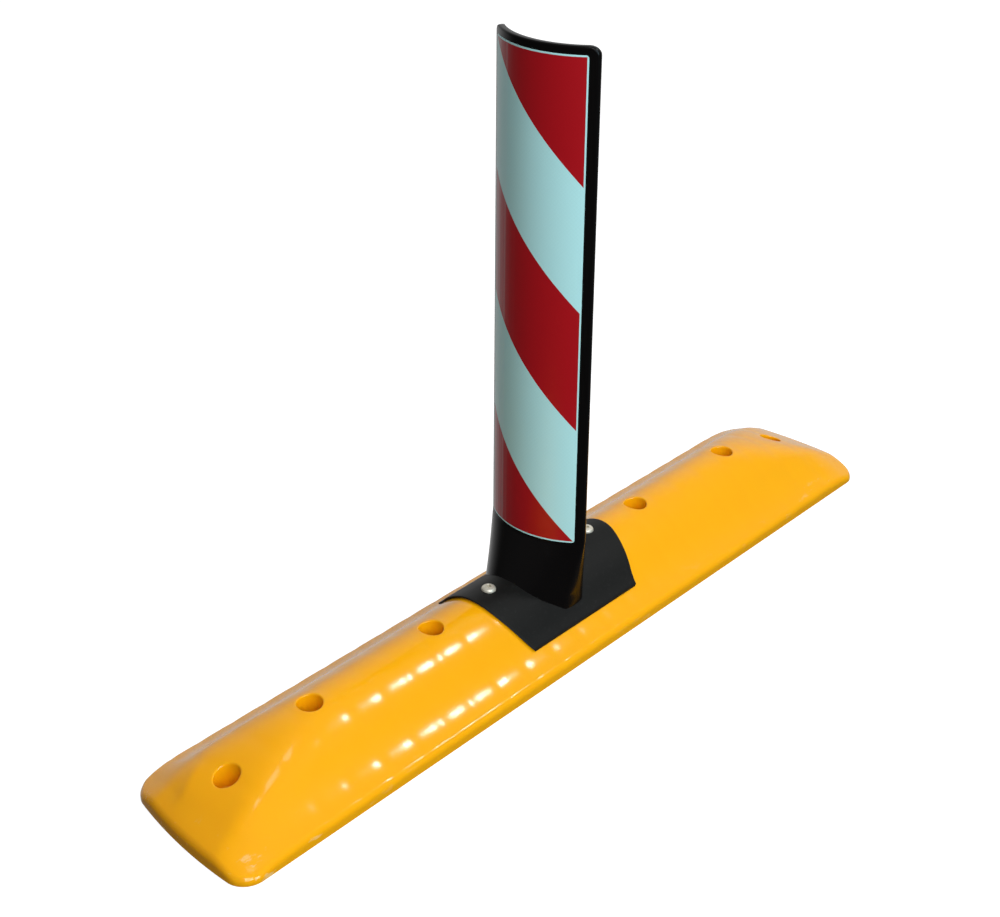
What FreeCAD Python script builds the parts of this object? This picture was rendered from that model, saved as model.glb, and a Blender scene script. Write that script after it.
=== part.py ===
import FreeCAD, Part
import Sketcher
import math
import os

# Yellow lane kerb with a flexible striped blade. Millimetres, +Z up, X along the kerb,
# origin on the ground under the middle of the kerb. The blade's face looks along -X.
doc = FreeCAD.newDocument("LaneKerb")
sheet = doc.addObject("Spreadsheet::Sheet", "Dimensions")

sizes = {
    # kerb outside
    "kerb_length": (1000.0, "over the two bowed ends"),
    "kerb_width": (182.0, "over the two lips"),
    "kerb_height": (70.0, "ground to crown"),
    "crown_radius": (40.0, "top of the cross-section"),
    "flank_radius": (140.5, "side of the cross-section"),
    "flare_radius": (51.0, "hollow run out to the lip"),
    "flare_angle": (14.0, "slope in degrees where the flare meets the lip"),
    "lip_wall": (10.0, "height of the upright face along the long sides"),
    "lip_radius": (5.0, "rounding at the top of the lip"),
    "end_run": (135.0, "length of each sloping end"),
    "end_angle": (19.0, "slope of each end in degrees"),
    "roll_run": (45.0, "last part of each end, which falls faster"),
    "roll_angle": (28.0, "slope of that last part in degrees"),
    "end_bow": (10.0, "how far the middle of an end stands out"),
    "near_slant": (0.15, "how far the near end leans off square, as a ratio"),
    "near_short": (3.0, "how far the near end's middle stands back"),
    "corner_radius": (24.0, "plan corners"),
    # kerb inside
    "shell_wall": (4.5, "thickness of the skin"),
    "rib_pitch": (41.6667, "spacing of the cross ribs"),
    "rib_thickness": (3.0, "all ribs"),
    "long_rib_offset": (34.0, "long ribs from the centre line"),
    # anchor holes
    "inner_anchor": (166.6667, "inner anchor holes from the middle"),
    "outer_inset": (166.6667, "outer anchor holes from the end"),
    "end_inset": (62.0, "end anchor holes from the end"),
    "anchor_bore": (14.0, "through hole for an M12 anchor"),
    "anchor_mouth": (25.0, "counterbore"),
    "anchor_seat": (22.0, "height of the seat for the anchor head"),
    "boss_wall": (5.5, "wall round the counterbore"),
    # saddle plate
    "saddle_thickness": (3.0, "plate over the crown"),
    "saddle_top_half": (107.0, "half length at the crown"),
    "saddle_taper": (28.0, "how far the end edges lean in, in degrees"),
    "saddle_half_width": (66.0, "centre line to the lower edge"),
    # blade section
    "blade_radius": (88.0, "front face"),
    "blade_thickness": (7.0, "front to back"),
    "blade_half_chord": (59.5, "centre line to the edge, front face"),
    "blade_back_half": (57.5, "centre line to the edge, back face"),
    "blade_front": (28.0, "front face ahead of the middle"),
    "blade_top": (631.0, "height of the blade"),
    "blade_corner": (9.0, "rounding of the top corners"),
    "neck_bottom": (98.0, "top of the stiff foot"),
    "neck_top": (132.0, "bottom of the stiff panel"),
    # sheets
    "sheet_thickness": (0.5, "reflective sheet"),
    "sheet_half_chord": (54.2, "centre line to the sheet's edge"),
    "sheet_bottom": (118.0, "lower edge of the sheet"),
    "sheet_top": (623.0, "upper edge of the sheet"),
    # foot of the blade
    "foot_front": (65.0, "front of the foot ahead of the middle"),
    "foot_front_edge": (17.0, "front corners of the foot ahead of the middle"),
    "foot_back": (12.0, "back of the foot behind the middle"),
    "foot_back_edge": (9.0, "back corners of the foot behind the middle"),
    "foot_half_width": (52.0, "centre line to the side of the foot"),
    "foot_level": (50.0, "where the tapered root starts"),
    "plug_bottom": (22.0, "underside of the plug in its socket"),
    "flange_reach": (8.0, "how far the flange stands out under the saddle"),
    "flange_thickness": (5.0, "flange under the saddle"),
    "socket_wall": (4.5, "wall round the plug and the flange"),
    "socket_floor": (5.0, "floor under the plug"),
    "socket_clearance": (0.4, "all round the plug, the flange and the root"),
    # saddle bolts, M8
    "bolt_offset": (80.0, "bolts from the middle"),
    "bolt_diameter": (8.0, "shank"),
    "bolt_length": (45.0, "under the head"),
    "bolt_head": (15.0, "button head diameter"),
    "bolt_head_height": (4.6, "button head height"),
    "bolt_hexagon": (5.0, "socket across flats"),
    "bolt_hex_depth": (2.8, "socket depth"),
    "bolt_clearance": (0.4, "round the shank, on the radius"),
    "bolt_boss_radius": (13.0, "boss under the crown"),
    "bolt_tail": (0.95, "bolt past the lock nut"),
    "spot_clearance": (1.0, "round the head, on the radius"),
    "washer_diameter": (20.0, "washer under the nut"),
    "washer_thickness": (1.6, "washer under the nut"),
    "nut_flats": (13.0, "lock nut across flats"),
    "nut_height": (6.5, "steel part of the lock nut"),
    "ring_diameter": (11.4, "nylon ring of the lock nut"),
    "ring_height": (1.8, "nylon ring of the lock nut"),
}

# levels that follow from the sizes: a flat spot for each bolt head, then the stack down to the nut
saddle_radius = "(crown_radius + saddle_thickness)"
spot_radius = "(bolt_head / 2 + spot_clearance)"
nut_stack = "washer_thickness + nut_height + ring_height + bolt_tail"
sizes["saddle_seat"] = (
    f"=kerb_height - crown_radius + sqrt({saddle_radius}^2 - {spot_radius}^2)",
    "where the bolt heads bear",
)
sizes["bolt_boss_bottom"] = (f"=saddle_seat - bolt_length + {nut_stack}", "where the washer bears")

for row, (alias, (value, note)) in enumerate(sizes.items(), start=1):
    sheet.set(f"A{row}", alias)
    sheet.set(f"B{row}", str(value))
    sheet.setAlias(f"B{row}", alias)
    sheet.set(f"C{row}", note)
doc.recompute()

nodes = []


def size(alias):
    return float(getattr(sheet, alias))


def bind(thing, **expressions):
    # each keyword is a property, with __ for the dot of a nested one
    for name, expression in expressions.items():
        thing.setExpression(name.replace("__", "."), expression)


def value_of(expression):
    # the number an expression over the sheet gives now, for first positions
    return float(sheet.evalExpression(expression.replace("Dimensions.", "")))


def vec(x, y, z):
    return FreeCAD.Vector(x, y, z)


def arc(first, middle, last):
    return Part.Arc(first, middle, last).toShape()


def line(first, last):
    return Part.LineSegment(first, last).toShape()


def shape_node(label, shape):
    feature = doc.addObject("Part::Feature", label)
    feature.Label = label
    feature.Shape = shape
    feature.Placement = FreeCAD.Placement()
    nodes.append(feature)
    return feature


# --- kerb: the common part of a long section, a side view and a plan ---
def section_angles():
    # slopes where crown meets flank and flank meets flare that close the section on width and height
    low = math.radians(size("flare_angle"))
    crown = size("crown_radius")
    flank = size("flank_radius")
    flare = size("flare_radius")
    lip = size("lip_radius")
    run = size("kerb_width") / 2 - lip * (1 - math.sin(low)) + flare * math.sin(low)
    drop = size("kerb_height") - size("lip_wall") - lip * math.cos(low) - crown - flare * math.cos(low)
    top = math.radians(30)
    steep = math.radians(50)
    steps = 30
    for _ in range(steps):
        off_run = (crown - flank) * math.sin(top) + (flank + flare) * math.sin(steep) - run
        off_drop = (flank - crown) * math.cos(top) - (flank + flare) * math.cos(steep) - drop
        a = (crown - flank) * math.cos(top)
        b = (flank + flare) * math.cos(steep)
        c = (crown - flank) * math.sin(top)
        d = (flank + flare) * math.sin(steep)
        det = a * d - b * c
        top -= (off_run * d - off_drop * b) / det
        steep -= (off_drop * a - off_run * c) / det
    if not low < steep or not 0 < top < steep or abs(off_run) + abs(off_drop) > 1e-6:
        raise ValueError("the section does not close on this width and height")
    return top, steep


def along(centre, radius, angle):
    # the point of a circle whose normal leans by angle from the upright
    return vec(0, centre.y + radius * math.sin(angle), centre.z + radius * math.cos(angle))


def mirrored(point):
    return vec(point.x, -point.y, point.z)


def section_face(grow, floor_level):
    # crown, flank, hollow flare and lip arcs down one side, offset outwards by grow
    low = math.radians(size("flare_angle"))
    top, steep = section_angles()
    crown = size("crown_radius")
    flank = size("flank_radius")
    flare = size("flare_radius")
    lip = size("lip_radius")
    crown_centre = vec(0, 0, size("kerb_height") - crown)
    flank_centre = along(crown_centre, crown - flank, top)
    flare_centre = along(flank_centre, flank + flare, steep)
    lip_centre = along(flare_centre, -flare - lip, low)
    spans = [(flank_centre, flank + grow, top, steep), (flare_centre, grow - flare, steep, low)]
    if lip + grow > 0:  # an offset deeper than the lip radius has no lip arc left
        spans.append((lip_centre, lip + grow, low, math.pi / 2))
    edges = [arc(*[along(crown_centre, crown + grow, t) for t in (-top, 0, top)])]
    for centre, radius, start, end in spans:
        points = [along(centre, radius, t) for t in (start, (start + end) / 2, end)]
        edges.append(arc(*points))
        edges.append(arc(*[mirrored(p) for p in points]))
    side = points[-1]
    foot = vec(0, side.y, floor_level)
    edges += [line(side, foot), line(foot, mirrored(foot)), line(mirrored(foot), mirrored(side))]
    return Part.Face(Part.Wire(Part.__sortEdges__(edges)))


def long_prism(grow, floor_level=0.0):
    half = size("kerb_length") / 2
    face = section_face(grow, floor_level)
    face.translate(vec(-half, 0, 0))
    return face.extrude(vec(2 * half, 0, 0))


def side_prism(grow):
    # flat along the crown, then two straight slopes down to each end, the outer one steeper
    spare = 10.0
    half = size("kerb_length") / 2
    first = math.radians(size("end_angle"))
    last = math.radians(size("roll_angle"))
    top = size("kerb_height") + grow
    shoulder = half - size("end_run") + grow * math.tan(first / 2)
    turn = half - size("roll_run")
    level = size("kerb_height") - (size("end_run") - size("roll_run")) * math.tan(first)
    spread = 1 + math.cos(last - first)
    turn += grow * (math.sin(first) + math.sin(last)) / spread
    level += grow * (math.cos(first) + math.cos(last)) / spread
    beyond = half + spare
    tip = level - (beyond - turn) * math.tan(last)
    right = [(beyond, -spare), (beyond, tip), (turn, level), (shoulder, top)]
    outline = right + [(-x, z) for x, z in reversed(right)]
    reach = size("kerb_width")
    wire = Part.makePolygon([vec(x, -reach, z) for x, z in outline + outline[:1]])
    return Part.Face(wire).extrude(vec(0, 2 * reach, 0))


def plan_prism(grow):
    # straight sides, bowed ends and round corners; the near end leans a little off square
    spare = 10.0
    half = size("kerb_length") / 2 + grow
    side = size("kerb_width") / 2 + grow
    back = half - size("end_bow")
    lean = size("near_slant") * side
    near = size("near_short") - half
    near_left = vec(near + size("end_bow") + lean, side, -spare)
    near_right = vec(near + size("end_bow") - lean, -side, -spare)
    edges = [
        arc(vec(back, -side, -spare), vec(half, 0, -spare), vec(back, side, -spare)),
        line(vec(back, side, -spare), near_left),
        arc(near_left, vec(near, 0, -spare), near_right),
        line(near_right, vec(back, -side, -spare)),
    ]
    solid = Part.Face(Part.Wire(edges)).extrude(vec(0, 0, size("kerb_height") + 2 * spare))
    upright = [e for e in solid.Edges if abs(e.tangentAt(e.FirstParameter).z) > 0.99]
    return solid.makeFillet(size("corner_radius") + grow, upright)


# --- foot of the blade: plug, flange and a root that tapers up into the blade ---
def slab_wire(front, front_edge, front_half, back, back_edge, back_half, level):
    # closed outline: an arc in front, an arc behind and two short sides
    corners = [vec(front_edge, -front_half, level), vec(front_edge, front_half, level)]
    corners += [vec(back_edge, back_half, level), vec(back_edge, -back_half, level)]
    edges = [
        arc(corners[0], vec(front, 0, level), corners[1]),
        line(corners[1], corners[2]),
        arc(corners[2], vec(back, 0, level), corners[3]),
        line(corners[3], corners[0]),
    ]
    return Part.Wire(edges)


def foot_wire(grow, level):
    half = size("foot_half_width") + grow
    front = -size("foot_front") - grow
    front_edge = -size("foot_front_edge") - grow
    back = size("foot_back") + grow
    back_edge = size("foot_back_edge") + grow
    return slab_wire(front, front_edge, half, back, back_edge, half, level)


def blade_wire(grow, level):
    centre = size("blade_radius") - size("blade_front")
    outer = size("blade_radius") + grow
    inner = size("blade_radius") - size("blade_thickness") - grow
    front_half = size("blade_half_chord") + grow
    back_half = size("blade_back_half") + grow
    front_edge = centre - math.sqrt(outer**2 - front_half**2)
    back_edge = centre - math.sqrt(inner**2 - back_half**2)
    return slab_wire(centre - outer, front_edge, front_half, centre - inner, back_edge, back_half, level)


def root_solid(grow):
    wires = [foot_wire(grow, size("foot_level")), blade_wire(grow, size("neck_bottom"))]
    return Part.makeLoft(wires, True, True)


def foot_prism(grow, bottom, top):
    return Part.Face(foot_wire(grow, bottom)).extrude(vec(0, 0, top - bottom))


def seated_flange(grow, thickness):
    # a band of the crown's own curve, just under the saddle
    block = foot_prism(size("flange_reach") + grow, 0, size("kerb_height") + 1)
    return block.common(long_prism(0)).cut(long_prism(-thickness))


def foot_shape():
    plug = foot_prism(0, size("plug_bottom"), size("foot_level"))
    body = plug.fuse([root_solid(0), seated_flange(0, size("flange_thickness"))])
    return body.removeSplitter()


def upright_cylinder(radius, x, bottom, top):
    return Part.makeCylinder(radius, top - bottom, vec(x, 0, bottom))


def kerb_shape():
    height = size("kerb_height")
    clear = size("socket_clearance")
    wall = size("shell_wall")
    half = size("kerb_length") / 2
    width = size("kerb_width")
    outer = long_prism(0).common(side_prism(0)).common(plan_prism(0))
    core = long_prism(-wall, -5.0).common(side_prism(-wall)).common(plan_prism(-wall))
    shell = outer.cut(core)

    # cross ribs half a pitch off the middle, long ribs beside the anchor bosses
    pitch = size("rib_pitch")
    rib = size("rib_thickness")
    filling = []
    for k in range(int(half / pitch)):
        for x in ((k + 0.5) * pitch, -(k + 0.5) * pitch):
            filling.append(Part.makeBox(rib, width, height, vec(x - rib / 2, -width / 2, 0)))
    for y in (size("long_rib_offset"), -size("long_rib_offset")):
        filling.append(Part.makeBox(2 * half, rib, height, vec(-half, y - rib / 2, 0)))

    # bosses for the ground anchors and for the saddle bolts
    boss = size("anchor_mouth") / 2 + size("boss_wall")
    anchors = [size("inner_anchor"), half - size("outer_inset"), half - size("end_inset")]
    for x in anchors + [-x for x in anchors]:
        filling.append(upright_cylinder(boss, x, 0, height))
    for x in (size("bolt_offset"), -size("bolt_offset")):
        filling.append(upright_cylinder(size("bolt_boss_radius"), x, size("bolt_boss_bottom"), height))

    # socket walls round the plug, and a ledge under the flange
    room = clear + size("socket_wall")
    socket_bottom = size("plug_bottom") - clear
    filling.append(foot_prism(room, socket_bottom - size("socket_floor"), height))
    depth = size("flange_thickness") + room
    ledge = foot_prism(size("flange_reach") + room, 0, height + 1).cut(long_prism(-depth))
    filling.append(ledge)
    solid = shell.fuse([piece.common(outer) for piece in filling])

    cuts = [foot_prism(clear, socket_bottom, size("foot_level")), root_solid(clear)]
    recess = foot_prism(size("flange_reach") + clear, 0, height + 1)
    cuts.append(recess.cut(long_prism(-size("flange_thickness") - clear)))
    for x in anchors + [-x for x in anchors]:
        cuts.append(upright_cylinder(size("anchor_bore") / 2, x, -1, height))
        cuts.append(upright_cylinder(size("anchor_mouth") / 2, x, size("anchor_seat"), height + 1))
    bore = size("bolt_diameter") / 2 + size("bolt_clearance")
    for x in (size("bolt_offset"), -size("bolt_offset")):
        cuts.append(upright_cylinder(bore, x, size("bolt_boss_bottom") - 1, height + 1))
        # the space under each boss stays open for its washer and nut
        nut_room = size("washer_diameter") / 2 + 1
        cuts.append(upright_cylinder(nut_room, x, -1, size("bolt_boss_bottom")))
    return solid.cut(cuts).removeSplitter()


# --- saddle plate: the crown's curve made thicker, with leaning end edges ---
def saddle_shape():
    thickness = size("saddle_thickness")
    top = size("kerb_height") + thickness
    reach = size("saddle_half_width")
    half = size("saddle_top_half")
    low = half - top * math.tan(math.radians(size("saddle_taper")))
    outline = [(-half, top), (half, top), (low, 0), (-low, 0)]
    wire = Part.makePolygon([vec(x, -reach, z) for x, z in outline + outline[:1]])
    wedge = Part.Face(wire).extrude(vec(0, 2 * reach, 0))
    plate = long_prism(thickness).cut(long_prism(0)).common(wedge)
    clear = size("socket_clearance")
    cuts = [foot_prism(clear, size("plug_bottom"), size("foot_level")), root_solid(clear)]
    bore = size("bolt_diameter") / 2 + size("bolt_clearance")
    spot = size("bolt_head") / 2 + size("spot_clearance")
    for x in (size("bolt_offset"), -size("bolt_offset")):
        cuts.append(upright_cylinder(bore, x, 0, top + 1))
        cuts.append(upright_cylinder(spot, x, size("saddle_seat"), top + 1))
    return plate.cut(cuts)


# --- blade, neck and sheets: bands between two arcs, padded upwards ---
def origin_plane(body, role):
    return next(f for f in body.Origin.OriginFeatures if f.Role == role)


def new_sketch(body, role, name):
    sketch = body.newObject("Sketcher::SketchObject", name)
    sketch.AttachmentSupport = [(origin_plane(body, role), "")]
    sketch.MapMode = "FlatFace"
    return sketch


def datum(sketch, expression, kind, *where):
    # a dimension whose value comes from the sheet
    index = sketch.addConstraint(Sketcher.Constraint(kind, *where, value_of(expression)))
    sketch.setExpression(f"Constraints[{index}]", expression)
    return index


def band_sketch(body, outer, inner, outer_half, inner_half):
    # two arcs about a point on the X axis, closed by a straight edge at each side
    sketch = new_sketch(body, "XY_Plane", body.Name + "Section")
    centre = size("blade_radius") - size("blade_front")
    ends = []
    for radius, half in ((outer, outer_half), (inner, inner_half)):
        lean = math.asin(half / radius)
        circle = Part.Circle(vec(centre, 0, 0), vec(0, 0, 1), radius)
        sketch.addGeometry(Part.ArcOfCircle(circle, math.pi - lean, math.pi + lean), False)
        ends.append((vec(centre - radius * math.cos(lean), half, 0), half))
    (front, front_half), (back, back_half) = ends
    for sign in (1, -1):
        first = vec(front.x, sign * front_half, 0)
        last = vec(back.x, sign * back_half, 0)
        sketch.addGeometry(Part.LineSegment(first, last), False)
    link = sketch.addConstraint
    link(Sketcher.Constraint("PointOnObject", 0, 3, -1))
    link(Sketcher.Constraint("Coincident", 1, 3, 0, 3))
    link(Sketcher.Constraint("Coincident", 2, 1, 0, 1))
    link(Sketcher.Constraint("Coincident", 2, 2, 1, 1))
    link(Sketcher.Constraint("Coincident", 3, 1, 0, 2))
    link(Sketcher.Constraint("Coincident", 3, 2, 1, 2))
    link(Sketcher.Constraint("Symmetric", 0, 1, 0, 2, -1))
    link(Sketcher.Constraint("Symmetric", 1, 1, 1, 2, -1))
    return sketch


def band_body(label, outer, inner, outer_half, inner_half, bottom, top):
    # outer, inner and the two half chords are expressions over the sheet
    body = doc.addObject("PartDesign::Body", label)
    body.Label = label
    numbers = [value_of(text) for text in (outer, inner, outer_half, inner_half)]
    sketch = band_sketch(body, *numbers)
    datum(sketch, "Dimensions.blade_radius - Dimensions.blade_front", "DistanceX", -1, 1, 0, 3)
    datum(sketch, outer, "Radius", 0)
    datum(sketch, inner, "Radius", 1)
    datum(sketch, outer_half, "DistanceY", -1, 1, 0, 1)
    datum(sketch, inner_half, "DistanceY", -1, 1, 1, 1)
    bind(sketch, AttachmentOffset__Base__z=bottom)
    pad = body.newObject("PartDesign::Pad", body.Name + "Pad")
    pad.Profile = sketch
    bind(pad, Length=f"{top} - {bottom}")
    body.Tip = pad
    return body


def round_top(body, top, radius):
    # the two upper corners, seen from the front
    doc.recompute()
    pad = body.Tip
    level = size(top)
    names = []
    for k, edge in enumerate(pad.Shape.Edges, start=1):
        box = edge.BoundBox
        if box.ZMin > level - 0.1 and box.XLength < 3 * size("blade_thickness") and abs(box.Center.y) > 10:
            names.append(f"Edge{k}")
    fillet = body.newObject("PartDesign::Fillet", body.Name + "Corners")
    fillet.Base = (pad, names)
    bind(fillet, Radius=radius)
    body.Tip = fillet


front = "Dimensions.blade_radius"
back = "(Dimensions.blade_radius - Dimensions.blade_thickness)"
blade_band = (front, back, "Dimensions.blade_half_chord", "Dimensions.blade_back_half")

neck = band_body("blade_neck", *blade_band, "Dimensions.neck_bottom", "Dimensions.neck_top")
panel = band_body("blade_panel", *blade_band, "Dimensions.neck_top", "Dimensions.blade_top")
round_top(panel, "blade_top", "Dimensions.blade_corner")

sheet_span = ("Dimensions.sheet_bottom", "Dimensions.sheet_top")
sheet_half = "Dimensions.sheet_half_chord"
front_sheet = band_body(
    "front_reflective_sheet",
    f"{front} + Dimensions.sheet_thickness",
    front,
    sheet_half,
    sheet_half,
    *sheet_span,
)
rear_sheet = band_body(
    "rear_reflective_sheet",
    back,
    f"{back} - Dimensions.sheet_thickness",
    f"{sheet_half} * {back} / {front}",
    f"{sheet_half} * {back} / {front}",
    *sheet_span,
)
nodes += [neck, panel, front_sheet, rear_sheet]

shape_node("kerb_shell", kerb_shape())
shape_node("blade_foot", foot_shape())
shape_node("saddle_plate", saddle_shape())


# --- saddle bolts with washers and lock nuts, one set on each side of the blade ---
def turned_body(label, x, level, outline):
    # half outline in the XZ plane as (radius, height) texts, turned about Z
    body = doc.addObject("PartDesign::Body", label)
    body.Label = label
    sketch = new_sketch(body, "XZ_Plane", body.Name + "Outline")
    points = [vec(value_of(r), value_of(z), 0) for r, z in outline]
    count = len(points)
    for k in range(count):
        sketch.addGeometry(Part.LineSegment(points[k], points[(k + 1) % count]), False)
    for k in range(count):
        sketch.addConstraint(Sketcher.Constraint("Coincident", k, 2, (k + 1) % count, 1))
    for k, (r, z) in enumerate(outline):
        for text, kind in ((r, "DistanceX"), (z, "DistanceY")):
            if value_of(text) == 0:
                axis = -2 if kind == "DistanceX" else -1
                sketch.addConstraint(Sketcher.Constraint("PointOnObject", k, 1, axis))
            else:
                datum(sketch, text, kind, -1, 1, k, 1)
    turn = body.newObject("PartDesign::Revolution", body.Name + "Turn")
    turn.Profile = sketch
    turn.ReferenceAxis = (sketch, ["V_Axis"])
    turn.Angle = 360
    body.Tip = turn
    bind(body, Placement__Base__x=x, Placement__Base__z=level)
    return body


def hexagon(sketch, flats):
    # corners on a construction circle, two flats facing along X
    corner = value_of(flats) / math.sqrt(3)
    angles = [math.radians(60 * k + 30) for k in range(6)]
    points = [vec(corner * math.cos(a), corner * math.sin(a), 0) for a in angles]
    for k in range(6):
        sketch.addGeometry(Part.LineSegment(points[k], points[(k + 1) % 6]), False)
    sketch.addGeometry(Part.Circle(vec(0, 0, 0), vec(0, 0, 1), corner), True)
    for k in range(6):
        sketch.addConstraint(Sketcher.Constraint("Coincident", k, 2, (k + 1) % 6, 1))
        sketch.addConstraint(Sketcher.Constraint("PointOnObject", k, 1, 6))
    for k in range(5):
        sketch.addConstraint(Sketcher.Constraint("Equal", k, k + 1))
    sketch.addConstraint(Sketcher.Constraint("Coincident", 6, 3, -1, 1))
    sketch.addConstraint(Sketcher.Constraint("Vertical", 5))
    datum(sketch, f"{flats} / sqrt(3)", "Radius", 6)


def hex_socket(body, flats, level, depth):
    sketch = new_sketch(body, "XY_Plane", body.Name + "Socket")
    hexagon(sketch, flats)
    bind(sketch, AttachmentOffset__Base__z=level)
    doc.recompute()
    whole = body.Shape.Volume
    pocket = body.newObject("PartDesign::Pocket", body.Name + "Pocket")
    pocket.Profile = sketch
    bind(pocket, Length=depth)
    body.Tip = pocket
    doc.recompute()
    if body.Shape.Volume > whole - 1:
        raise ValueError(f"{body.Label}: the hex socket cut nothing")


def both_sides(label, make):
    # the same piece at both bolts, kept as separate solids in one node
    far = make(f"{label}_far", "Dimensions.bolt_offset")
    near = make(f"{label}_near", "-Dimensions.bolt_offset")
    group = doc.addObject("Part::Compound", label)
    group.Label = label
    group.Links = [far, near]
    nodes.append(group)


def bolt(label, x):
    shank = "Dimensions.bolt_diameter / 2"
    head = "Dimensions.bolt_head / 2"
    rise = "Dimensions.bolt_head_height"
    low = "-Dimensions.bolt_length"
    chamfer = "Dimensions.bolt_diameter / 10"
    outline = [
        ("0", low),
        (f"{shank} - {chamfer}", low),
        (shank, f"{low} + {chamfer}"),
        (shank, "0"),
        (head, "0"),
        (head, f"{rise} * 0.22"),
        (f"{head} * 0.93", f"{rise} * 0.5"),
        (f"{head} * 0.76", f"{rise} * 0.8"),
        (f"{head} * 0.55", rise),
        ("0", rise),
    ]
    body = turned_body(label, x, "Dimensions.saddle_seat", outline)
    hex_socket(body, "Dimensions.bolt_hexagon", rise, "Dimensions.bolt_hex_depth")
    return body


def washer(label, x):
    inner = "Dimensions.bolt_diameter / 2 + Dimensions.bolt_clearance"
    outer = "Dimensions.washer_diameter / 2"
    low = "-Dimensions.washer_thickness"
    outline = [(inner, low), (outer, low), (outer, "0"), (inner, "0")]
    return turned_body(label, x, "Dimensions.bolt_boss_bottom", outline)


def nut(label, x):
    body = doc.addObject("PartDesign::Body", label)
    body.Label = label
    sketch = new_sketch(body, "XY_Plane", body.Name + "Hexagon")
    hexagon(sketch, "Dimensions.nut_flats")
    sketch.addGeometry(Part.Circle(vec(0, 0, 0), vec(0, 0, 1), size("bolt_diameter") / 2), False)
    sketch.addConstraint(Sketcher.Constraint("Coincident", 7, 3, -1, 1))
    datum(sketch, "Dimensions.bolt_diameter / 2", "Radius", 7)
    pad = body.newObject("PartDesign::Pad", body.Name + "Pad")
    pad.Profile = sketch
    bind(pad, Length="Dimensions.nut_height")
    body.Tip = pad
    level = "Dimensions.bolt_boss_bottom - Dimensions.washer_thickness - Dimensions.nut_height"
    bind(body, Placement__Base__x=x, Placement__Base__z=level)
    return body


def ring(label, x):
    inner = "Dimensions.bolt_diameter / 2"
    outer = "Dimensions.ring_diameter / 2"
    low = "-Dimensions.ring_height"
    outline = [(inner, low), (outer, low), (outer, "0"), (inner, "0")]
    level = "Dimensions.bolt_boss_bottom - Dimensions.washer_thickness - Dimensions.nut_height"
    return turned_body(label, x, level, outline)


both_sides("saddle_bolts", bolt)
both_sides("saddle_washers", washer)
both_sides("lock_nuts", nut)
both_sides("lock_nut_rings", ring)

doc.recompute()

# --- checks and export ---
for thing in doc.Objects:
    if "Invalid" in thing.State or "Error" in thing.State:
        raise ValueError(f"{thing.Label} failed: {thing.State}")
for node in nodes:
    if node.Shape.isNull() or not node.Shape.isValid():
        raise ValueError(f"{node.Label} has no valid shape")

os.makedirs("parts", exist_ok=True)
for node in nodes:
    node.Shape.exportStep(f"parts/{node.Label}.step")
    box = node.Shape.optimalBoundingBox(False)
    low = [round(v, 1) for v in (box.XMin, box.YMin, box.ZMin)]
    high = [round(v, 1) for v in (box.XMax, box.YMax, box.ZMax)]
    print(node.Label, len(node.Shape.Solids), round(node.Shape.Volume), low, high)
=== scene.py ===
import math
import bpy
import numpy as np
from mathutils import Matrix, Vector


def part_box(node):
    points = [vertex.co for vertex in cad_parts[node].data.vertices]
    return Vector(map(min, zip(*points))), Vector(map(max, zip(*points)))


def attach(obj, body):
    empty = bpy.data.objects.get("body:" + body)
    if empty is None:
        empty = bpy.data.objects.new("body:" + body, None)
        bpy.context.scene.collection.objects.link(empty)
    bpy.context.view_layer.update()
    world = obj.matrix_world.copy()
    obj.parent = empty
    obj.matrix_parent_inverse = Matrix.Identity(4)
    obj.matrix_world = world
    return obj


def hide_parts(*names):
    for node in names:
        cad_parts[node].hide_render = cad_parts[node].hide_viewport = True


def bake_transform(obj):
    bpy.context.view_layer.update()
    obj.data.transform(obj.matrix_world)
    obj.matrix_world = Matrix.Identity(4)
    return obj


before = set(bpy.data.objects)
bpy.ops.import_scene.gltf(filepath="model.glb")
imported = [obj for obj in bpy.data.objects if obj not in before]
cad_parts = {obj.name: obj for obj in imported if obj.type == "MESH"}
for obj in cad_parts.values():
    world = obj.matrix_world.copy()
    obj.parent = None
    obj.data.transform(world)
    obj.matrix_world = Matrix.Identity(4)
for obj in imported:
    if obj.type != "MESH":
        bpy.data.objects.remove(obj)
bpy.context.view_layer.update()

print("stage: frame loaded")


# shader expressions: a socket with the operators that are used, and one method for any other node
class Wire:
    def __init__(self, graph, socket):
        self.graph = graph
        self.socket = socket

    def math(self, operation, *others):
        values = {0: self}
        for k, other in enumerate(others, start=1):
            values[k] = other
        return self.graph.node("ShaderNodeMath", dict(operation=operation), values)

    def __add__(self, other):
        return self.math("ADD", other)

    def __radd__(self, other):
        return self.math("ADD", other)

    def __mul__(self, other):
        return self.math("MULTIPLY", other)

    def __rmul__(self, other):
        return self.math("MULTIPLY", other)

    def __sub__(self, other):
        return self.math("SUBTRACT", other)

    def __rsub__(self, other):
        return self.math("MULTIPLY", -1.0).math("ADD", other)


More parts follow.
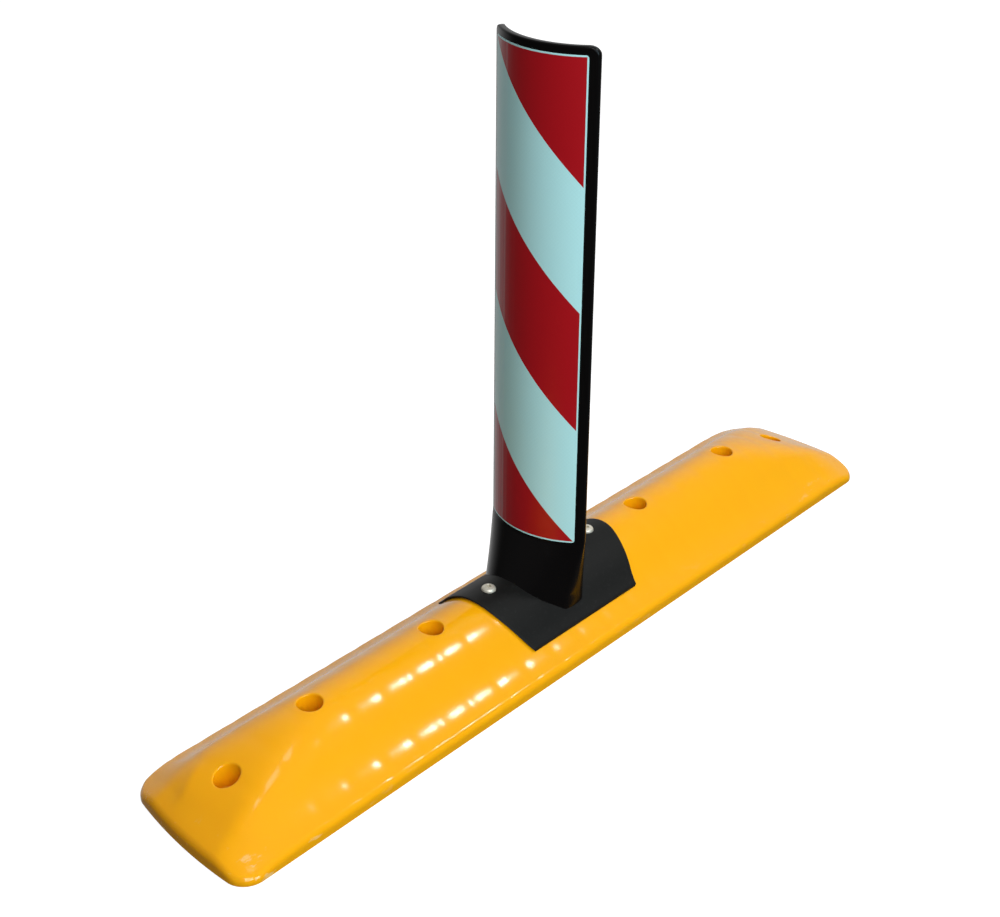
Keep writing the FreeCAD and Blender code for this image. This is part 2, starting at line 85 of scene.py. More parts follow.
class Graph:
    # over a new material, or over another block that has a node tree
    def __init__(self, name=None, block=None):
        self.block = block or bpy.data.materials.new(name)
        self.block.use_nodes = True
        self.tree = self.block.node_tree

    def put(self, socket, value):
        if isinstance(value, Wire):
            self.tree.links.new(value.socket, socket)
        else:
            socket.default_value = value

    def node(self, kind, settings=None, values=None, output=0):
        made = self.tree.nodes.new(kind)
        for name, value in (settings or {}).items():
            if name == "stops":
                ramp = made.color_ramp
                while len(ramp.elements) < len(value):
                    ramp.elements.new(1.0)
                for element, (place, colour) in zip(ramp.elements, value):
                    element.position = place
                    element.color = colour
            else:
                setattr(made, name, value)
        for key, value in (values or {}).items():
            self.put(made.inputs[key], value)
        return Wire(self, made.outputs[output])

    def coordinates(self, output="Object"):
        return self.node("ShaderNodeTexCoord", output=output)

    def noise(self, where, scale, detail=3.0, roughness=0.5):
        return self.node("ShaderNodeTexNoise", None,
                         {"Vector": where, "Scale": scale, "Detail": detail, "Roughness": roughness})

    def ramp(self, value, low, high):
        return self.node("ShaderNodeMapRange", dict(interpolation_type="SMOOTHSTEP"),
                         {"Value": value, "From Min": low, "From Max": high})

    def blend(self, factor, first, second):
        # a colour mix
        return self.node("ShaderNodeMix", dict(data_type="RGBA"), {0: factor, 6: first, 7: second}, output=2)

    def stretched(self, where, scale):
        return self.node("ShaderNodeVectorMath", dict(operation="MULTIPLY"), {0: where, 1: scale})

    def bump(self, height, distance, strength=1.0, under=None):
        values = {"Height": height, "Distance": distance, "Strength": strength}
        if under is not None:
            values["Normal"] = under
        return self.node("ShaderNodeBump", None, values)

    def finish(self, **sockets):
        # keyword names are the shader's socket names with _ for a space
        shader = self.tree.nodes["Principled BSDF"]
        for name, value in sockets.items():
            self.put(shader.inputs[name.replace("_", " ")], value)
        return self.block


# mesh pieces from whole arrays
def gridFaces(rows, columns, closed=False, keep=None):
    # the quads of a rows by columns grid of points, wrapped round its columns when closed
    spans = columns if closed else columns - 1
    i, j = np.meshgrid(np.arange(rows - 1), np.arange(spans), indexing="ij")
    nextJ = (j + 1) % columns
    corners = [i * columns + j, i * columns + nextJ, (i + 1) * columns + nextJ, (i + 1) * columns + j]
    quads = np.stack(corners, -1)
    quads = quads.reshape(-1, 4)
    return quads if keep is None else quads[keep.reshape(-1)]


def gridRim(grid):
    # the outline of a grid of points as one closed run, from its first corner along the first index
    return np.concatenate([grid[:-1, 0], grid[-1, :-1], grid[:0:-1, -1], grid[0, :0:-1]])


def makePiece(name, parts, material, sharpAngle=40.0, uvs=None):
    # parts are (points, quads) pairs, joined where their points meet
    points = []
    quads = []
    start = 0
    for partPoints, partQuads in parts:
        partPoints = np.asarray(partPoints, float).reshape(-1, 3)
        points.append(partPoints)
        quads.append(partQuads + start)
        start += len(partPoints)
    points = np.concatenate(points)
    quads = np.concatenate(quads)
    # points within a hundredth of a millimetre are one point
    keys = np.round(points * 1e5).astype(np.int64)
    first, inverse = np.unique(keys, axis=0, return_index=True, return_inverse=True)[1:]
    inverse = inverse.reshape(-1)
    points = points[first]
    quads = inverse[quads]
    used = np.unique(quads)
    renumber = np.zeros(len(points), int)
    renumber[used] = np.arange(len(used))
    points = points[used]
    quads = renumber[quads]
    # quads with two corners in one place become triangles
    loops = []
    sizes = []
    same = quads == np.roll(quads, -1, axis=1)
    whole = ~same.any(1)
    loops.append(quads[whole].reshape(-1))
    sizes.append(np.full(whole.sum(), 4))
    for k in range(4):
        pick = same[:, k] & (same.sum(1) == 1)
        others = [c for c in range(4) if c != k]
        loops.append(quads[pick][:, others].reshape(-1))
        sizes.append(np.full(pick.sum(), 3))
    loops = np.concatenate(loops)
    sizes = np.concatenate(sizes)
    mesh = bpy.data.meshes.new(name)
    mesh.vertices.add(len(points))
    mesh.vertices.foreach_set("co", points.astype(np.float32).reshape(-1))
    mesh.loops.add(len(loops))
    mesh.loops.foreach_set("vertex_index", loops.astype(np.int32))
    mesh.polygons.add(len(sizes))
    mesh.polygons.foreach_set("loop_start", np.concatenate([[0], np.cumsum(sizes)[:-1]]).astype(np.int32))
    mesh.update(calc_edges=True)
    mesh.polygons.foreach_set("use_smooth", np.ones(len(sizes), bool))
    mesh.set_sharp_from_angle(angle=math.radians(sharpAngle))
    if uvs is not None:
        layer = mesh.uv_layers.new(name="surface")
        layer.data.foreach_set("uv", uvs(points[loops]).astype(np.float32).reshape(-1))
    mesh.validate()
    mesh.update()
    mesh.materials.append(material)
    piece = bpy.data.objects.new(name, mesh)
    bpy.context.scene.collection.objects.link(piece)
    print("piece", name, len(points), "points", len(sizes), "faces")
    return piece


def spread(start, end, step):
    # even places from start to end, at most a step apart
    return np.linspace(start, end, max(1, math.ceil(abs(end - start) / step - 1e-9)) + 1)


def joinLines(*spans):
    # all the places in rising order, each one once
    return np.unique(np.round(np.concatenate(spans), 8))


def rimSteps(radius, count):
    # distances in from an edge, closer together towards it: radius times one less the sine
    return radius * (1 - np.sin(np.linspace(0, math.pi / 2, count)))


# kerb: a long section and sloping end planes, softly joined, inside a plan with bowed ends
kerb = dict(
    crownRadius=0.040, crownAngle=27.0, flankAngle=48.0, flareAngle=22.0,
    lipWall=0.010, lipRadius=0.005, endRun=0.135, endAngle=19.0, endBow=0.008,
    moveStart=0.460, moveLonger=0.060, moveSoft=0.030, rollStart=0.425, rollDrop=0.0085,
    farReach=0.003, nearShort=0.003, nearSlant=0.15,
    cornerRadius=0.022, wall=0.0045, drawStart=(0.46, 0.03), hipSoftness=0.020,
    footRise=0.0012, footEdge=0.0010, innerEdge=0.0008,
    ribPitch=1.0 / 24, ribThickness=0.003, ribInto=0.0008, ribStep=0.006, ribLap=0.0006,
    ribNarrowFrom=0.47, ribNarrow=0.006, longRib=0.034, longRibShort=0.001, longRibStep=0.01,
    sinkDepth=0.00045, sinkLength=0.30,
    holes=(0.1666667, 0.3333333, 0.438), mouthRadius=0.0125, mouthEdge=0.0016,
    boreRadius=0.007, boreEdge=0.0005, seatHeight=0.022, seatFillet=0.0012,
    bossRadius=0.018, bossEdge=0.0008,
    step=0.0032, patch=0.0205, patchSpans=18, rimSpans=7,
    boltBoss=0.080, boltBossLow=0.038, boltBossShort=0.002, boltBossRadius=0.013, boltBossSpans=40,
    boltBore=0.0044,
    socketX=-0.024, socketReach=(0.046, 0.052), socketLow=0.0166, socketHigh=0.036,
    socketPower=0.5, socketEdge=0.001, socketEdgeShare=0.985, socketLap=0.002, socketSpans=48,
)
kerbHalfLength, kerbHalfWidth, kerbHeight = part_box("kerb_shell")[1]


def sectionArcs():
    # centres and radii of the crown, flank and flare arcs: the last two radii solve two equations, that
    # the arcs' runs add up to the half width and their drops to the height
    top, steep, low = (math.radians(kerb[k]) for k in ("crownAngle", "flankAngle", "flareAngle"))
    crown = kerb["crownRadius"]
    lip = kerb["lipRadius"]
    run = kerbHalfWidth - crown * math.sin(top) - lip * (1 - math.sin(low))
    drop = kerbHeight - crown * (1 - math.cos(top)) - lip * math.cos(low) - kerb["lipWall"]
    system = [[math.sin(steep) - math.sin(top), math.sin(steep) - math.sin(low)],
              [math.cos(top) - math.cos(steep), math.cos(low) - math.cos(steep)]]
    flank, flare = np.linalg.solve(system, [run, drop])
    crownCentre = np.array([0.0, kerbHeight - crown])
    flankCentre = crownCentre + (crown - flank) * np.array([math.sin(top), math.cos(top)])
    flareCentre = flankCentre + (flank + flare) * np.array([math.sin(steep), math.cos(steep)])
    return (crownCentre, crown, top), (flankCentre, flank, steep), (flareCentre, flare, low)


def sectionHeight(y, grow=0.0):
    # z over y: crown arc, flank arc, hollow flare arc, then a straight run at the flare's last slope
    (c1, r1, a1), (c2, r2, a2), (c3, r3, a3) = sectionArcs()
    y = np.abs(y)
    y1 = c1[0] + (r1 + grow) * math.sin(a1)
    y2 = c2[0] + (r2 + grow) * math.sin(a2)
    y3 = c3[0] - (r3 - grow) * math.sin(a3)
    z3 = c3[1] - (r3 - grow) * math.cos(a3)
    crown = c1[1] + np.sqrt(np.maximum((r1 + grow) ** 2 - (y - c1[0]) ** 2, 0))
    flank = c2[1] + np.sqrt(np.maximum((r2 + grow) ** 2 - (y - c2[0]) ** 2, 0))
    flare = c3[1] - np.sqrt(np.maximum((r3 - grow) ** 2 - (y - c3[0]) ** 2, 0))
    run = z3 - (y - y3) * math.tan(a3)
    return np.select([y <= y1, y <= y2, y <= y3], [crown, flank, flare], run)


def softLower(a, b, softness):
    # the lower of two heights, with a round join where they come within softness
    share = np.clip(0.5 + 0.5 * (b - a) / softness, 0, 1)
    return b + (a - b) * share - softness * share * (1 - share)


def kerbTop(x, y, grow=0.0, sink=True):
    # section and end plane softly joined, less a bell-shaped trough over each hidden rib and less a
    # square law over the end's last stretch
    slope = math.tan(math.radians(kerb["endAngle"]))
    lift = grow / math.cos(math.radians(kerb["endAngle"]))
    endPlane = kerbHeight + lift + (kerbHalfLength - kerb["endRun"] - np.abs(x)) * slope
    z = softLower(sectionHeight(y, grow), endPlane, kerb["hipSoftness"])
    if sink:
        phase = np.abs((x / kerb["ribPitch"]) % 1.0 - 0.5)
        trough = np.exp(-(phase / kerb["sinkLength"]) ** 2 * 3.0)
        z = z - kerb["sinkDepth"] * trough
    # the end rolls over towards its lip
    roll = np.clip((np.abs(x) - kerb["rollStart"]) / (kerbHalfLength - kerb["rollStart"]), 0, 1)
    return z - kerb["rollDrop"] * roll**2


def roundPlan(x, y, inset=0.0):
    # corner squares turned into quarter discs ring by ring, then the ends bowed and the near one slanted;
    # the third value is x before the ends were moved
    halfX = kerbHalfLength - inset
    halfY = kerbHalfWidth - inset
    radius = kerb["cornerRadius"] - inset
    u = np.maximum(np.abs(x) - (halfX - radius), 0) / radius
    v = np.maximum(np.abs(y) - (halfY - radius), 0) / radius
    ring = np.maximum(u, v)
    length = np.maximum(np.hypot(u, v), 1e-12)
    both = (u > 0) & (v > 0)
    scale = np.where(both, ring / length, 1.0)
    newX = np.where(both, np.sign(x) * (halfX - radius + u * scale * radius), x)
    newY = np.where(both, np.sign(y) * (halfY - radius + v * scale * radius), y)
    # the move starts further in along the sides than beside the end hole
    beside = np.clip((np.abs(y) - kerb["patch"]) / kerb["moveSoft"], 0, 1)
    start = kerb["moveStart"] - kerb["moveLonger"] * beside * beside * (3 - 2 * beside)
    fade = np.clip((np.abs(x) - start) / (kerbHalfLength - start), 0, 1)
    fade = fade * fade * (3 - 2 * fade)
    bow = kerb["endBow"] * (newY / kerbHalfWidth) ** 2
    far = newX - fade * (bow - kerb["farReach"])
    near = newX + fade * (bow + kerb["nearShort"] + kerb["nearSlant"] * newY)
    return np.where(x > 0, far, near), newY, newX


def lipDrop(distance, radius):
    # how far a rounded rim falls below the surface at a distance in from the outline
    t = np.clip(distance / radius, 0, 1)
    return radius * (1 - np.sqrt(1 - (1 - t) ** 2))


def kerbLines():
    # x lines: close together over the lip, patch lines round the holes, even steps between
    lip = kerb["lipRadius"]
    marks = [0.0]
    for x in kerb["holes"]:
        marks += [x - kerb["patch"], x + kerb["patch"]]
    marks.append(kerbHalfLength - lip)
    spans = [kerbHalfLength - rimSteps(lip, kerb["rimSpans"])]
    patchStep = 2 * kerb["patch"] / kerb["patchSpans"]
    for k, (start, end) in enumerate(zip(marks[:-1], marks[1:])):
        spans.append(spread(start, end, patchStep if k % 2 else kerb["step"]))
    line = joinLines(*spans)
    return joinLines(-line, line)


def squareRing(half, spans):
    # points round a square, starting at its -x -y corner, anticlockwise
    along = np.linspace(-half, half, spans + 1)[:-1]
    side = np.full(spans, half)
    return np.concatenate([along, side, -along, -side]), np.concatenate([-side, along, side, -along])


def polarRings(xs, ys, radii, blendCount):
    # rings from the square in to the first radius, then one ring for each further radius
    reach = np.hypot(xs, ys)
    unitX = xs / reach
    unitY = ys / reach
    share = np.linspace(0, 1, blendCount + 1)[:, None]
    ringX = xs * (1 - share) + unitX * radii[0] * share
    ringY = ys * (1 - share) + unitY * radii[0] * share
    more = np.array(radii[1:]).reshape(-1, 1)
    return np.concatenate([ringX, unitX * more]), np.concatenate([ringY, unitY * more])


def holedSheet(xLines, yLines, height, holes, half, flip=False):
    # a height surface over a grid, with a square left open round each hole
    x, y = np.meshgrid(xLines, yLines, indexing="ij")
    points = height(x, y)
    midX = (x[:-1, :-1] + x[1:, 1:]) / 2
    midY = (y[:-1, :-1] + y[1:, 1:]) / 2
    keep = np.ones(midX.shape, bool)
    for hx, hy in holes:
        keep &= ~((np.abs(midX - hx) < half) & (np.abs(midY - hy) < half))
    quads = gridFaces(len(xLines), len(yLines), keep=keep)
    return points, quads if flip else quads[:, ::-1]


def outerSkin(x, y):
    # plan and top surface, less the rounded rim's drop near the outline
    px, py, flatX = roundPlan(x, y)
    inset = np.minimum(kerbHalfLength - np.abs(x), kerbHalfWidth - np.abs(y))
    return np.stack([px, py, kerbTop(flatX, py) - lipDrop(inset, kerb["lipRadius"])], -1)


def innerSkin(x, y):
    # the same lines drawn in towards the middle by the wall, under a section smaller by the wall
    wall = kerb["wall"]
    startX, startY = kerb["drawStart"]
    drawnX = np.maximum(np.abs(x) - startX, 0) * wall / (kerbHalfLength - startX)
    drawnY = np.maximum(np.abs(y) - startY, 0) * wall / (kerbHalfWidth - startY)
    px, py, flatX = roundPlan(x - np.sign(x) * drawnX, y - np.sign(y) * drawnY, wall)
    return np.stack([px, py, kerbTop(flatX, py, -wall, sink=False)], -1)


def lipWall(outer, inner):
    # rows down the outside, across the narrow face on the ground and up the inside
    ground = [1, 1, 0]
    low = outer * ground + [0, 0, kerb["footRise"]]
    rows = [outer * (1 - share) + low * share for share in (0.0, 0.35, 0.7)]
    rows.append(outer * ground + [0, 0, kerb["footEdge"]])
    rows += [(outer * (1 - share) + inner * share) * ground for share in (0.25, 0.85)]
    rows.append(inner * ground + [0, 0, kerb["innerEdge"]])
    rows += [inner * [1, 1, 0.5], inner]
    return np.stack(rows), gridFaces(len(rows), len(outer), closed=True)[:, ::-1]


def anchorHole(x):
    # rings in from a square: over the rounded mouth and down it, over the seat, through the bore,
    # out over the boss's foot and back up to the inner skin
    xs, ys = squareRing(kerb["patch"], kerb["patchSpans"])
    mouth, edge, bore, boss = (kerb[k] for k in ("mouthRadius", "mouthEdge", "boreRadius", "bossRadius"))
    seat, fillet, soft, foot = (kerb[k] for k in ("seatHeight", "seatFillet", "boreEdge", "bossEdge"))
    turn = np.linspace(0, math.pi / 2, 6)
    ringX, ringY = polarRings(xs, ys, mouth + edge - edge * np.sin(turn), 5)
    surface = outerSkin(ringX + x, ringY)
    surface[6:, :, 2] -= edge * (1 - np.cos(turn[1:, None]))
    unit = np.stack([ringX[-1], ringY[-1]], -1) / mouth
    levels = [(mouth - fillet / 3, seat + fillet / 2), (mouth - fillet, seat), (bore + soft, seat),
              (bore, seat - soft), (bore, soft), (bore + soft, 0.0), (boss - foot, 0.0), (boss, foot)]
    rings = [np.column_stack([unit * radius + [x, 0], np.full(len(xs), level)])
             for radius, level in levels]
    lowX, lowY = polarRings(xs, ys, [boss], 3)
    below = innerSkin(lowX[::-1] + x, lowY[::-1])
    column = np.concatenate([surface, np.stack(rings), below])
    return column, gridFaces(len(column), len(xs), closed=True)


def kerbBody(material):
    # two skins over one grid of lines, joined round the outline and at every hole
    patchStep = 2 * kerb["patch"] / kerb["patchSpans"]
    xLines = kerbLines()
    yHalf = joinLines(spread(0, kerb["patch"], patchStep),
                      spread(kerb["patch"], kerbHalfWidth - kerb["lipRadius"], kerb["step"]),
                      kerbHalfWidth - rimSteps(kerb["lipRadius"], kerb["rimSpans"]))
    yLines = joinLines(-yHalf, yHalf)
    holesX = [side * x for x in kerb["holes"] for side in (-1, 1)]
    holes = [(x, 0.0) for x in holesX]
    top = holedSheet(xLines, yLines, outerSkin, holes, kerb["patch"])
    under = holedSheet(xLines, yLines, innerSkin, holes, kerb["patch"], flip=True)
    parts = [top, under, lipWall(gridRim(top[0]), gridRim(under[0]))]
    parts += [anchorHole(x) for x in holesX]
    return makePiece("kerb_body", parts, material, 38.0)


def boxRun(sections):
    # a tube through equal closed sections, its two ends filled by joining opposite points
    rows, count = sections.shape[:2]
    a = np.arange(count // 2 - 1)
    cap = np.stack([a, a + 1, count - 2 - a, count - 1 - a], -1)
    return [(sections, gridFaces(rows, count, closed=True)),
            (sections[0], cap[:, ::-1]), (sections[-1], cap)]


def ribPlate(path, normal):
    # a plate along a path in plan, from the ground up to just inside the skin
    px, py, flatX = roundPlan(path[:, 0], path[:, 1])
    top = kerbTop(flatX, py, -kerb["wall"], sink=False) + kerb["ribInto"]
    side = np.array(normal) * kerb["ribThickness"] / 2
    path = np.stack([px, py], -1)
    ground = np.zeros(len(path))
    corners = ((path - side, ground), (path - side, top), (path + side, top), (path + side, ground))
    return boxRun(np.stack([np.column_stack(corner) for corner in corners], 1))


def crossRibs():
    # a rib each pitch across the kerb, which stops at an anchor boss or at the blade's socket
    parts = []
    boss = kerb["bossRadius"]
    reach = kerbHalfWidth - kerb["wall"] + kerb["ribInto"]
    centres = [side * x for x in kerb["holes"] for side in (-1, 1)]
    ribs = [side * (k + 0.5) * kerb["ribPitch"] for k in range(int(kerbHalfLength / kerb["ribPitch"]))
            for side in (-1, 1)]
    for x in ribs:
        end = reach if abs(x) < kerb["ribNarrowFrom"] else reach - kerb["ribNarrow"]
        chords = [math.sqrt(boss**2 - (x - at) ** 2) for at in centres if abs(x - at) < boss]
        gap = max(chords) - kerb["ribLap"] if chords else 0.0
        if abs(x - kerb["socketX"]) < kerb["socketReach"][0]:
            gap = kerb["socketReach"][1] - kerb["socketLap"]
        for low, high in ((gap, end), (-end, -gap)) if gap else ((-end, end),):
            ys = spread(low, high, kerb["ribStep"])
            parts += ribPlate(np.column_stack([np.full(len(ys), x), ys]), (1.0, 0.0))
    return parts


def bladeSocket():
    # a block with a rounded outline, the square root of cosine and sine, closed to its middle both ways
    angle = np.arange(kerb["socketSpans"]) * 2 * math.pi / kerb["socketSpans"]
    unit = np.stack([np.cos(angle), np.sin(angle)], -1)
    outline = np.array(kerb["socketReach"]) * np.sign(unit) * np.abs(unit) ** kerb["socketPower"]
    outline[:, 0] += kerb["socketX"]
    low, high, share = kerb["socketLow"], kerb["socketHigh"], kerb["socketEdgeShare"]
    middle = np.array([kerb["socketX"], 0.0])
    runs = ((middle, low), (outline * share, low), (outline, low + kerb["socketEdge"]), (outline, high),
            (middle, high))
    rows = [np.column_stack([np.broadcast_to(run, outline.shape), np.full(len(outline), z)])
            for run, z in runs]
    return np.stack(rows), gridFaces(len(rows), len(outline), closed=True)


def kerbInside(material):
    # cross ribs, long ribs, the blade's socket and the bolt bosses, each a closed solid let into the skin
    parts = crossRibs()
    reach = kerbHalfLength - kerb["wall"] - kerb["longRibShort"]
    xs = spread(-reach, reach, kerb["longRibStep"])
    for side in (-1, 1):
        parts += ribPlate(np.column_stack([xs, np.full(len(xs), side * kerb["longRib"])]), (0.0, -1.0))
    low, outer, inner = kerb["boltBossLow"], kerb["boltBossRadius"], kerb["boltBore"]
    for x in (-kerb["boltBoss"], kerb["boltBoss"]):
        top = float(kerbTop(x, 0.0, -kerb["wall"], sink=False)) - kerb["boltBossShort"]
        profile = [(inner, low), (outer, low), (outer, top), (inner, top), (inner, low)]
        parts.append(turned(profile, x, kerb["boltBossSpans"]))
    parts.append(bladeSocket())
    return makePiece("kerb_ribs", parts, material, 30.0)


# saddle: a plate following the crown, its end edges leaning in
saddle = dict(thickness=0.003, topHalf=0.107, taper=28.0, halfWidth=0.066, edge=0.0009,
              gap=0.0006, step=0.003, shareStep=0.03, shareLength=0.09)
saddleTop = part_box("saddle_plate")[1].z


def saddleBody(material):
    # a share s of the half length and a distance t across, laid on the section grown by the thickness;
    # the half length falls with height by the tangent of the taper
    half, edge = saddle["halfWidth"], saddle["edge"]
    rim = rimSteps(edge, 5)
    tHalf = joinLines(spread(0, half - edge, saddle["step"]), half - rim)
    shareEdge = edge / saddle["shareLength"]
    sHalf = joinLines(spread(0, 1 - shareEdge, saddle["shareStep"]), 1 - rim / saddle["shareLength"])
    s, t = np.meshgrid(joinLines(-sHalf, sHalf), joinLines(-tHalf, tHalf), indexing="ij")

    def layer(grow):
        z = sectionHeight(t, grow)
        halfLength = saddle["topHalf"] - (saddleTop - z) * math.tan(math.radians(saddle["taper"]))
        return np.stack([s * halfLength, t, z], -1)

    top = layer(saddle["thickness"])
    top[..., 2] -= lipDrop(np.minimum((1 - np.abs(s)) * saddle["shareLength"], half - np.abs(t)), edge)
    low = layer(saddle["gap"])
    quads = gridFaces(*s.shape)
    rims = gridRim(top), gridRim(low)
    wall = np.stack([rims[0], (rims[0] + rims[1]) / 2, rims[1]])
    wallQuads = gridFaces(3, wall.shape[1], closed=True)[:, ::-1]
    return makePiece("saddle", [(top, quads[:, ::-1]), (low, quads), (wall, wallQuads)], material, 45.0)


# blade: one flexible moulding, a flared root that runs up into an arc section with rounded top corners
blade = dict(
    radius=0.088, thickness=0.007, halfChord=0.0595, backHalf=0.0575, front=0.028,
    plugBottom=0.0225, rootLevel=0.055, rootTop=0.116, rootFront=0.0654, rootFrontEdge=0.022,
    rootBack=0.0112, rootBackEdge=0.0091, rootHalf=0.052, rootNose=1.10,
    bendTop=0.18, heightSteps=(0.006, 0.002, 0.003, 0.012),
    topCorner=0.009, edgeRound=0.0016, sideBulge=0.0022, spansAcross=48, spansEdge=6,
    sheetHalf=0.0542, sheetThickness=0.0005, sheetCorner=0.003, sheetStep=0.006, sheetSpans=72,
)
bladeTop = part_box("blade_panel")[1].z
bladeCentre = blade["radius"] - blade["front"]
sheetLow, sheetHigh = (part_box("front_reflective_sheet")[k].z for k in (0, 1))
fullLean = math.asin(blade["sheetHalf"] / (blade["radius"] + blade["sheetThickness"]))


def bladeArcs(half):
    # front and back arcs for a front half chord: the centre less the radius times the cosine and sine of
    # the lean, the front one from -y to +y and the back one from +y to -y
    a = np.linspace(-1, 1, blade["spansAcross"] + 1)
    inner = blade["radius"] - blade["thickness"]
    lean = math.asin(half / blade["radius"])
    leanBack = math.asin(blade["backHalf"] * half / blade["halfChord"] / inner)
    runs = ((blade["radius"], a * lean), (inner, a[::-1] * leanBack))
    return [np.column_stack([bladeCentre - radius * np.cos(turn), radius * np.sin(turn)])
            for radius, turn in runs]


def rootArcs():
    # front and back of the root: x is a parabola over a, y a power of a
    a = np.linspace(-1, 1, blade["spansAcross"] + 1)
    y = np.sign(a) * np.abs(a) ** blade["rootNose"] * blade["rootHalf"]
    front, back = ((blade[name + "Edge"], blade[name]) for name in ("rootFront", "rootBack"))
    frontX = -(front[0] + (front[1] - front[0]) * (1 - a**2))
    backX = back[0] + (back[1] - back[0]) * (1 - a**2)
    return np.column_stack([frontX, y]), np.column_stack([backX, y])[::-1]


def sideRound(start, end):
    # half an ellipse from one point to another, bulging away from the blade's middle line
    turn = np.linspace(0, math.pi, blade["spansEdge"] + 1)[1:-1, None]
    middle = (start + end) / 2
    half = (start - end) / 2
    out = np.array([half[1], -half[0]])
    length = math.hypot(*out)
    out = out * math.copysign(min(length, blade["sideBulge"]) / length, out[1] * middle[1])
    return middle + half * np.cos(turn) + out * np.sin(turn)


def bladeRow(z):
    # one closed outline: the arcs, narrowed by the round top corners and pinched at the very top, mixed
    # with the root by the share of the climb from rootLevel to rootTop
    corner, edge = blade["topCorner"], blade["edgeRound"]
    rise = max(z - (bladeTop - corner), 0.0)
    half = blade["halfChord"] - (corner - math.sqrt(max(corner**2 - rise**2, 0)))
    lack = max(edge - max(bladeTop - z, 0.0), 0)
    pinch = 2 * (edge - math.sqrt(max(edge**2 - lack**2, 0))) / blade["thickness"]
    front, back = bladeArcs(half)
    middle = (front + back[::-1]) / 2
    front = front + (middle - front) * pinch
    back = back + (middle[::-1] - back) * pinch
    share = np.clip((z - blade["rootLevel"]) / (blade["rootTop"] - blade["rootLevel"]), 0, 1)
    rootFront, rootBack = rootArcs()
    front = rootFront + (front - rootFront) * share
    back = rootBack + (back - rootBack) * share
    loop = np.concatenate([front, sideRound(front[-1], back[0]), back, sideRound(back[-1], front[0])])
    return np.column_stack([loop, np.full(len(loop), z)])


def bladeCap(loop):
    # quads from front to back across an outline, and a fan over each of its round sides
    count = blade["spansAcross"] + 1
    back = count + blade["spansEdge"] - 1
    total = len(loop)
    a = np.arange(count - 1)
    parts = [(loop, np.stack([a, a + 1, back + count - 2 - a, back + count - 1 - a], -1))]
    for run in (np.arange(count - 1, back + 1), np.r_[back + count - 1:total, 0]):
        centre = (loop[run[0]] + loop[run[-1]]) / 2
        far = np.full(len(run) - 1, total)
        parts.append((np.concatenate([loop, centre[None]]), np.stack([run[:-1], run[1:], far, far], -1)))
    return parts


def bladeBody(material):
    # outlines stacked up z, closed by a cap at each end
    marks = [blade["plugBottom"], blade["rootLevel"], blade["rootTop"], blade["bendTop"],
             bladeTop - blade["topCorner"]]
    spans = [spread(*span) for span in zip(marks[:-1], marks[1:], blade["heightSteps"])]
    rows = np.stack([bladeRow(z) for z in joinLines(*spans, bladeTop - rimSteps(blade["topCorner"], 9))])
    parts = [(rows, gridFaces(len(rows), rows.shape[1], closed=True)[:, ::-1])]
    parts += [(points, quads[:, ::-1]) for points, quads in bladeCap(rows[-1])]
    parts += bladeCap(rows[0])
    return makePiece("blade_moulding", parts, material, 50.0)


def sheetUvs(points):
    # share of the way round the arc and up the sheet, fixed to the piece so that it bends with it
    lean = np.arctan2(points[:, 1], bladeCentre - points[:, 0])
    return np.stack([0.5 + lean / (2 * fullLean), (points[:, 2] - sheetLow) / (sheetHigh - sheetLow)], -1)


def sheetBody(name, material, shown, hidden, half):
    # a thin arc band between two radii: lean and height over a grid, the lean less at the round corners
    corner = blade["sheetCorner"]
    radius = max(shown, hidden)
    lean = math.asin(half / radius)
    ends = corner * (1 - np.cos(np.linspace(0, math.pi / 2, 6)))
    zs = joinLines(spread(sheetLow + corner, sheetHigh - corner, blade["sheetStep"]),
                   sheetLow + ends, sheetHigh - ends)
    rise = np.maximum(np.maximum(zs - (sheetHigh - corner), sheetLow + corner - zs), 0)
    shrink = 1 - (corner - np.sqrt(np.maximum(corner**2 - rise**2, 0))) / (radius * lean)
    angle = np.linspace(-1, 1, blade["sheetSpans"] + 1) * lean * shrink[:, None]
    z = np.repeat(zs[:, None], angle.shape[1], 1)
    faces = [np.stack([bladeCentre - r * np.cos(angle), r * np.sin(angle), z], -1) for r in (shown, hidden)]
    rim = np.stack([gridRim(face.swapaxes(0, 1)) for face in faces])
    quads = gridFaces(*angle.shape)
    rimQuads = gridFaces(2, rim.shape[1], closed=True)
    if shown > hidden:
        parts = [(faces[0], quads[:, ::-1]), (faces[1], quads), (rim, rimQuads)]
    else:
        parts = [(faces[0], quads), (faces[1], quads[:, ::-1]), (rim, rimQuads[:, ::-1])]
    return makePiece(name, parts, material, 40.0, sheetUvs)


# fasteners: a profile of (radius, height) swept round the upright through the bolt, where a radius may
# also change round the turn
def turned(profile, x, spans):
    angle = np.arange(spans) * 2 * math.pi / spans
    radii = np.stack([np.broadcast_to(radius, spans) for radius, height in profile])
    heights = np.stack([np.full(spans, height) for radius, height in profile])
    points = np.stack([x + radii * np.cos(angle), radii * np.sin(angle), heights], -1)
    return points, gridFaces(len(profile), spans, closed=True)


def hexagonRadius(flats, spans):
    # half the width across flats, over the cosine of the angle from the nearest flat's middle
    angle = np.arange(spans) * 2 * math.pi / spans
    return flats / 2 / np.cos((angle + math.pi / 6) % (math.pi / 3) - math.pi / 6)


